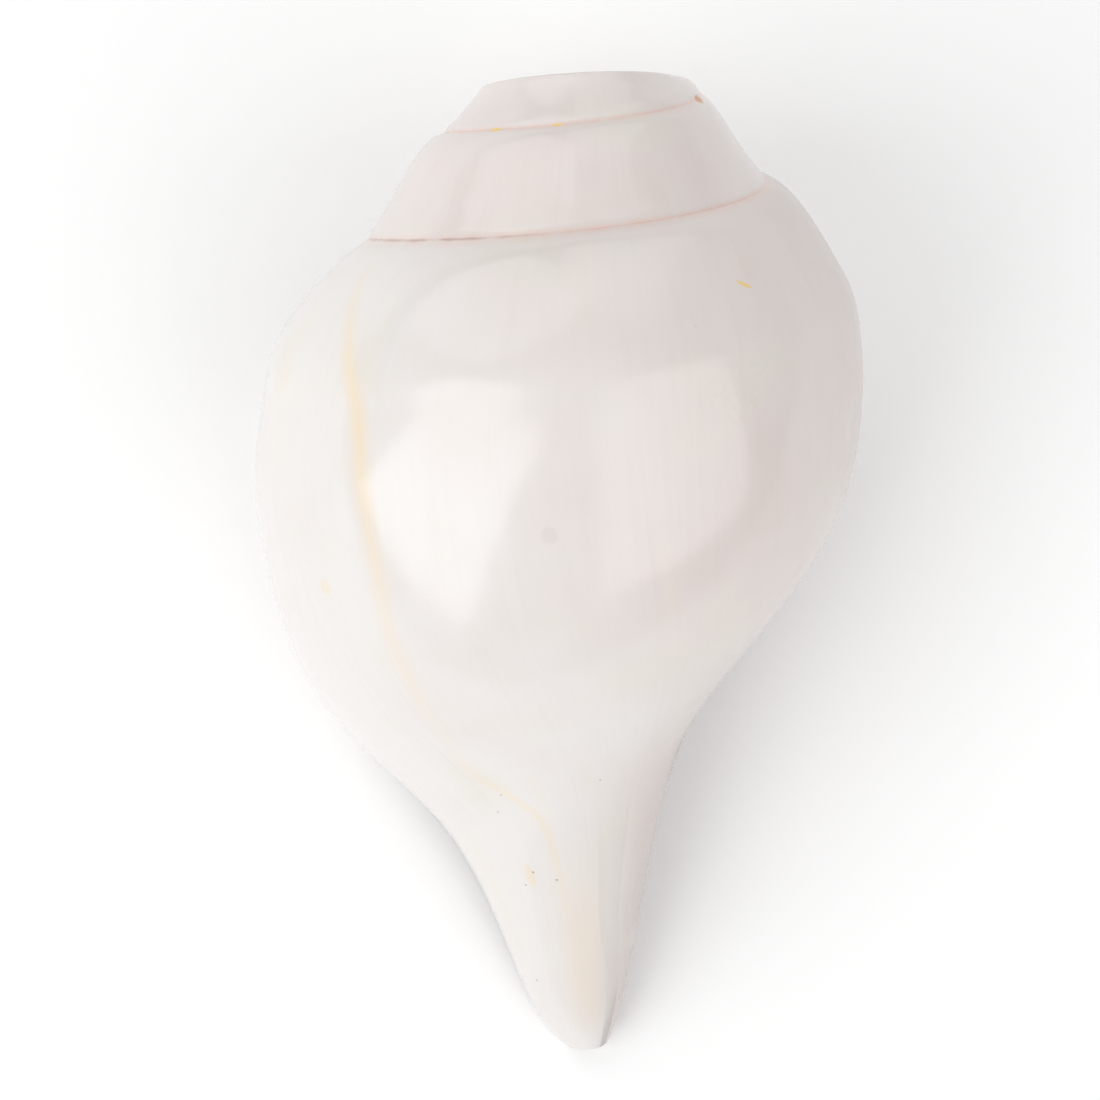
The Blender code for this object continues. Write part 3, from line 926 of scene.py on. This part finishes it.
def curve_through(value, points):
    """A smooth curve through points, both of whose numbers run from 0 to 1."""
    node = make_node(value.tree, "ShaderNodeFloatCurve", Value=value)
    curve = node.mapping.curves[0]
    curve.points[0].location = points[0]
    curve.points[1].location = points[-1]
    for x, y in points[1:-1]:
        curve.points.new(x, y)
    node.mapping.update()
    return Field(value.tree, node.outputs["Value"])


def spot(off_round, off_down, wobble):
    """1 inside an uneven round spot whose edge is 1 away from its middle, 0 outside."""
    away = (off_round * off_round + off_down * off_down).math("SQRT") + wobble
    return ramp(away, 1.15, 0.55)


def shell_coordinates(tree):
    """Turn, position, whether it is inside, and the place in millimetres."""
    growth = make_node(tree, "ShaderNodeAttribute", {"attribute_name": "growth"})
    turn, position, _ = parts_of(Field(tree, growth.outputs["Vector"]))
    side = make_node(tree, "ShaderNodeAttribute", {"attribute_name": "inside"})
    coordinates = tree.nodes.new("ShaderNodeTexCoord")
    place = vector_math("SCALE", Field(tree, coordinates.outputs["Object"]), scale=1000.0)
    return turn, position, Field(tree, side.outputs["Fac"]), place


def mottled(turn, position, place, soft):
    """White, pinker on the upper belly and the spire, that pink darker than the shell's own with
    painted shade in it; and on the side away from the lip a darker rosy grey that is painted shade.
    """
    # Pinker and darker from near the lip round to the far side, and on the spire: the shell's own
    # pink with painted shade in it.
    pink_and_shade = ramp(ramp(position, 0.40, 0.80, 0.0, 0.10) + turn, -0.12, -0.46)
    pink_and_shade = (pink_and_shade * PINK_AND_SHADE_STRENGTH + soft * 1.2).math("MAXIMUM", 0.0)
    colour = over(pink_and_shade, WHITE, SHADED_PINK)
    # Painted shade: a darker rosy grey on the side away from the lip, fading out before the whorl's
    # start.
    shaded_side = ramp(turn - ramp(position, 0.40, 0.80, 0.0, 0.12), -0.40, -0.60)
    colour = over(shaded_side * ramp(turn, -0.96, -0.76) * SIDE_SHADE_STRENGTH, colour, SHADED_SIDE_ROSE)
    creamy = noise(vector_math("ADD", place, CREAM_ASIDE), CREAM_CLOUDS, 4.0)
    return over(ramp(creamy, 0.52, 0.74) * CREAM_STRENGTH, colour, CREAM)


def streaked(colour, turn, position, streaks):
    """Growth lines: streaks across the whorl, a few of them broad and pale yellow."""
    broad = noise(vector(turn.tree, turn * BROAD_STREAKS, position * 2.0, 3.0), 1.0, 2.0)
    colour = over(streaks.math("ABSOLUTE") * STREAK_STRENGTH, colour, SHADED_PINK, "MULTIPLY")
    return over(ramp(broad, 0.58, 0.78) * STREAK_STRENGTH, colour, YELLOW_BAND)


def banded(colour, turn, position, wobble):
    """The yellow band across the whorl, and the peach streak down the thin canal."""
    first, last = BAND_TURNS
    reach = last - first
    middle = curve_through(position, [(s, (t - first) / reach) for s, t, _ in BAND]) * reach + first
    strength = curve_through(position, [(s, v) for s, _, v in BAND])
    band = hump((turn - middle) * (ROUND / BAND_WIDTH) + wobble * 0.7) * strength
    colour = over(band, colour, YELLOW_BAND)
    down_canal = ramp(position, 0.76, 0.88) * ramp(position, 0.985, 0.93)
    canal = hump((turn - CANAL_TURN) / CANAL_WIDTH + wobble * 0.5) * down_canal
    return over(canal * CANAL_STRENGTH, colour, PEACH)


def stained_sutures(colour, turn, position, wobble):
    """The lines where two whorls meet: pink, brown by the lip, with yellow and orange spots."""
    older = position.math("GREATER_THAN", JOIN / 2.0) * turn.math("LESS_THAN", -1.0)
    suture = turn + older
    off = blend(older, position, JOIN - position) * SUTURE_DOWN
    brown = ramp(suture, -0.34, -0.24) * ramp(suture, -0.02, -0.12)
    patchy = noise(vector(turn.tree, suture * STAINS_PER_TURN, 0.0, 0.0), 1.0, 2.0)
    halo = ramp(off + wobble * 1.6, 2.8, 0.1) * HALO_STRENGTH
    colour = over(halo * ramp(patchy, 0.25, 0.6, 0.4, 1.0), colour, SUTURE_PINK)
    line = ramp(off + wobble * 0.7, 0.7, 0.05) * ramp(patchy, 0.3, 0.6, 0.25, 1.0)
    colour = over(line * LINE_STRENGTH, colour, over(brown, SUTURE_PINK, SUTURE_BROWN))
    for spots, stain in ((YELLOW_SPOTS, YELLOW_STAIN), (ORANGE_SPOTS, ORANGE_STAIN)):
        for at_turn, length, reach in spots:
            share = spot((suture - at_turn) / length, off / reach, wobble * 0.8)
            colour = over(share, colour, stain)
    return colour


def marked(colour, turn, position, place, wobble):
    """The single marks, the last of them a painted reflection of the camera's lens, and the grey
    specks.
    """
    for at_turn, at_position, slant, half_round, half_down, strength, stain in MARKS:
        along = turn - at_turn
        off_down = (position - at_position - along * slant) * (DOWN / half_down)
        share = spot(along * (ROUND / half_round), off_down, wobble * 1.2) * strength
        colour = over(share, colour, stain)
    at_turn, at_position, half_round, half_down = SPECKLED_PATCH
    patch = spot((turn - at_turn) / half_round, (position - at_position) / half_down, wobble * 0.6)
    few = ramp(noise(place, SPECK_CLOUDS, 2.0), 0.56, 0.72) * 0.3
    specks = ramp(noise(place, SPECK_SIZE, 2.0), 0.58, 0.72)
    crowd = (patch * 0.6 + few).math("MINIMUM", 1.0)
    return over(crowd * specks * SPECK_STRENGTH, colour, GREY_GREEN)


def pitted(colour, place):
    """The pinholes, and finer pits in loose groups."""
    pits = 0.0
    for x, y, z, radius in PINHOLES:
        distance = vector_math("DISTANCE", place, (x, y, z))
        pits = ramp(distance, radius * 1.2, radius * 0.4) + pits
    dots = made(place.tree, "ShaderNodeTexVoronoi", Vector=place, Scale=1.0 / FINE_PITS_APART)
    fine = ramp(dots, 0.026, 0.014) * ramp(noise(place, FINE_PIT_GROUPS, 1.0), 0.50, 0.62) * 0.6
    return over((fine + pits).math("MINIMUM", 1.0) * PIT_STRENGTH, colour, PIT_BROWN)


def set_relief(tree, shine, height):
    """Small relief, in millimetres."""
    bump = made(tree, "ShaderNodeBump", Strength=1.0, Distance=MM, Height=height)
    wire(tree, bump, shine.inputs["Normal"])


def polish_shell(material):
    """The polished outside and inside."""
    tree = material.node_tree
    shine = tree.nodes["Principled BSDF"]
    turn, position, inside, place = shell_coordinates(tree)
    wobble = noise(vector(tree, turn * ROUND, position * DOWN, 0.0), EDGE_WOBBLE, 3.0) - 0.5
    soft = noise(place, PINK_CLOUDS, 3.0) - 0.5
    streaks = noise(vector(tree, turn * FINE_STREAKS, position * 4.0, 0.0), 1.0, 3.0) - 0.5
    colour = mottled(turn, position, place, soft)
    colour = streaked(colour, turn, position, streaks)
    colour = banded(colour, turn, position, wobble)
    colour = stained_sutures(colour, turn, position, wobble)
    colour = marked(colour, turn, position, place, wobble)
    colour = pitted(colour, place)
    colour = over(inside * ramp(soft, -0.2, 0.2, 0.7, 1.0), colour, INSIDE_TINT)
    wire(tree, colour, shine.inputs["Base Color"])
    roughness = ramp(noise(place, POLISH_CLOUDS, 3.0), 0.3, 0.7, 0.13, 0.21)
    wire(tree, roughness, shine.inputs["Roughness"])
    shine.inputs["IOR"].default_value = SHELL_IOR
    facets = noise(place, FACET_SIZE, 1.0) * FACET_DEPTH
    behind = CREASE_TURN - ramp(position, 0.84, 0.96, 0.0, CREASE_SLANT) - turn
    behind = behind.math("MAXIMUM", 0.0).math("MINIMUM", CREASE_REACH)
    crease = behind * -CREASE_SLOPE * ramp(position, 0.72, 0.80)
    set_relief(tree, shine, facets + streaks * LINE_DEPTH + crease)


# The whorls cut through, coil in coil: the first one's radius in millimetres, how many times wider
# each next one is, and how many layers of shell it shows.
COIL_RADIUS = 5.0
COIL_GROWTH = 1.5
COIL_LAYERS = 14.0
HOLE_WALL = (-20.0, -30.0)  # heights over which the hole's wall turns peach and shows rings
RING_DEPTH = 0.03
SCRATCH_DEPTH = 0.012


def finish_ground(material):
    """The ground face, where the whorls are cut through, and the wall of the blow hole."""
    tree = material.node_tree
    shine = tree.nodes["Principled BSDF"]
    coordinates = tree.nodes.new("ShaderNodeTexCoord")
    upright = LIE.inverted()
    at = Field(tree, coordinates.outputs["Object"])
    mapping = make_node(tree, "ShaderNodeMapping", Vector=at)
    mapping.inputs["Rotation"].default_value = upright.to_euler()
    mapping.inputs["Location"].default_value = upright @ (shell_place * -1.0)
    place = vector_math("SCALE", Field(tree, mapping.outputs["Vector"]), scale=1000.0)
    x, y, z = parts_of(place)
    radius = (x * x + y * y).math("SQRT")
    round_it = y.math("ARCTAN2", x * -1.0) / (2.0 * math.pi)
    coil = (radius / COIL_RADIUS).math("LOGARITHM", COIL_GROWTH) - round_it
    coil = coil + LIP_ANGLE / (2.0 * math.pi)
    wobble = noise(place, 2.5, 3.0) - 0.5
    seam = ((coil + wobble * 0.05).math("FRACT") - 0.5).math("ABSOLUTE")
    layers = noise(vector(tree, coil * COIL_LAYERS, 0.0, 0.0), 1.0, 3.0)
    deep = ramp(z, *HOLE_WALL)
    colour = over(noise(place, 6.0, 3.0), WHITE, CREAM)
    colour = over(ramp(layers, 0.45, 0.75) * 0.5, colour, PEACH)
    colour = over(ramp(seam, 0.035, 0.008) * 0.7, colour, SUTURE_PINK)
    colour = over(deep * 0.6, colour, PEACH)
    wire(tree, colour, shine.inputs["Base Color"])
    roughness = ramp(noise(place, 5.0, 2.0), 0.3, 0.7, 0.28, 0.42)
    wire(tree, roughness, shine.inputs["Roughness"])
    shine.inputs["IOR"].default_value = SHELL_IOR
    rings = noise(vector(tree, z * 1.8, radius * 0.05, 0.0), 1.0, 2.0) * RING_DEPTH * deep
    scratches = noise(vector(tree, x * 4.0 + y * 0.8, y * 0.15, z * 0.3), 1.0, 3.0)
    set_relief(tree, shine, rings + scratches * SCRATCH_DEPTH)


polish_shell(polished_shell)
finish_ground(ground_shell)


# ==================================================================================================
# THE FLOOR, THE LIGHT AND THE CAMERA
# A white table in a white room, two big soft boxes over it, the left one stronger, the light of two
# pale walls, and a camera that looks nearly straight down on the back of the shell.
# ==================================================================================================

AXIS_POINT = shell_place + LIE @ Vector((0.0, 0.0, -93.0 * MM))  # about the middle of the shell
TO_CAMERA = Vector((-0.0391, -0.0903, 0.995)).normalized()
CAMERA_DISTANCE = 470.0 * MM
CAMERA_LENS = 100.3  # millimetres
CAMERA_SEES = (0.01, 20.0)  # from and to, in metres
CAMERA_ROLL = math.radians(0.45)
AIM_ASIDE = (-6.09 * MM, 2.76 * MM)  # from there to where it looks, right and up in its view


def place_camera():
    camera = bpy.data.objects.new("camera", bpy.data.cameras.new("camera"))
    camera.data.lens = CAMERA_LENS
    camera.data.clip_start, camera.data.clip_end = CAMERA_SEES
    place = AXIS_POINT + TO_CAMERA * CAMERA_DISTANCE
    upward = (UP_AXIS - UP_AXIS.dot(TO_CAMERA) * TO_CAMERA).normalized()
    upward = Matrix.Rotation(-CAMERA_ROLL, 3, TO_CAMERA) @ upward
    rightward = upward.cross(TO_CAMERA)
    aim = AXIS_POINT + rightward * AIM_ASIDE[0] + upward * AIM_ASIDE[1]
    back = (place - aim).normalized()
    right = upward.cross(back).normalized()
    up = back.cross(right)
    turn = Matrix((right, up, back)).transposed().to_4x4()
    camera.matrix_world = Matrix.Translation(place) @ turn
    bpy.context.collection.objects.link(camera)
    bpy.context.scene.camera = camera


# The lights: where the middle is from the shell, which way the back looks and which way the long
# side runs; then width and length in metres, and radiance.
LIGHTS = {
    "soft_box_left": (
        ((-0.95, -0.28, 0.85), (-0.45, -0.78, 0.42), (0.14, 0.41, 0.90)),
        (1.22, 1.42),
        2.15,
    ),
    "soft_box_right": (
        ((0.73, -0.40, 0.72), (0.37, -0.53, 0.77), (-0.92, -0.32, 0.22)),
        (1.10, 1.19),
        1.35,
    ),
    "wall_left": (((-1.0, 1.5, 1.1), (-0.45, 0.75, 0.50), (0.0, 0.0, 1.0)), (1.4, 1.8), 0.98),
    "wall_behind": (((0.3, 1.7, 0.9), (0.10, 0.90, 0.45), (0.0, 0.0, 1.0)), (1.2, 1.6), 0.75),
}


def soft_light(name, stand, size, radiance):
    """A soft box or a pale wall that lights the shell from one side."""
    middle, back, along = stand
    width, length = size
    light = bpy.data.lights.new(name, "AREA")
    light.shape = "RECTANGLE"
    light.size = width
    light.size_y = length
    light.energy = radiance * math.pi * width * length
    behind = Vector(back).normalized()
    across = Vector(along).cross(behind).normalized()
    turn = Matrix((across, behind.cross(across), behind)).transposed().to_4x4()
    box = bpy.data.objects.new(name, light)
    box.matrix_world = Matrix.Translation(AXIS_POINT + Vector(middle)) @ turn
    box.visible_camera = False
    bpy.context.collection.objects.link(box)


place_camera()
for light_name, light_values in LIGHTS.items():
    soft_light(light_name, *light_values)

ROOM_WHITE = (1.0, 1.0, 1.0, 1.0)
ROOM_LIGHT = 0.43
FLOOR_WHITE = (0.97, 0.97, 0.97, 1.0)
FLOOR_ROUGHNESS = 0.8
FLOOR_REACH = 3.0  # metres to each side

world = bpy.data.worlds.new("white_room")
world.use_nodes = True
room = world.node_tree.nodes["Background"]
room.inputs["Color"].default_value = ROOM_WHITE
room.inputs["Strength"].default_value = ROOM_LIGHT
bpy.context.scene.world = world
bpy.context.scene.view_settings.view_transform = "Standard"

floor_mesh = bpy.data.meshes.new("floor")
corners = [
    (x * FLOOR_REACH, y * FLOOR_REACH, cad_low[2])
    for x, y in ((-1.0, -1.0), (1.0, -1.0), (1.0, 1.0), (-1.0, 1.0))
]
floor_mesh.from_pydata(corners, [], [(0, 1, 2, 3)])
floor = bpy.data.objects.new("floor", floor_mesh)
floor_paint = bpy.data.materials.new("floor_paint")
floor_paint.use_nodes = True
floor_shine = floor_paint.node_tree.nodes["Principled BSDF"]
floor_shine.inputs["Base Color"].default_value = FLOOR_WHITE
floor_shine.inputs["Roughness"].default_value = FLOOR_ROUGHNESS
floor_mesh.materials.append(floor_paint)
bpy.context.collection.objects.link(floor)
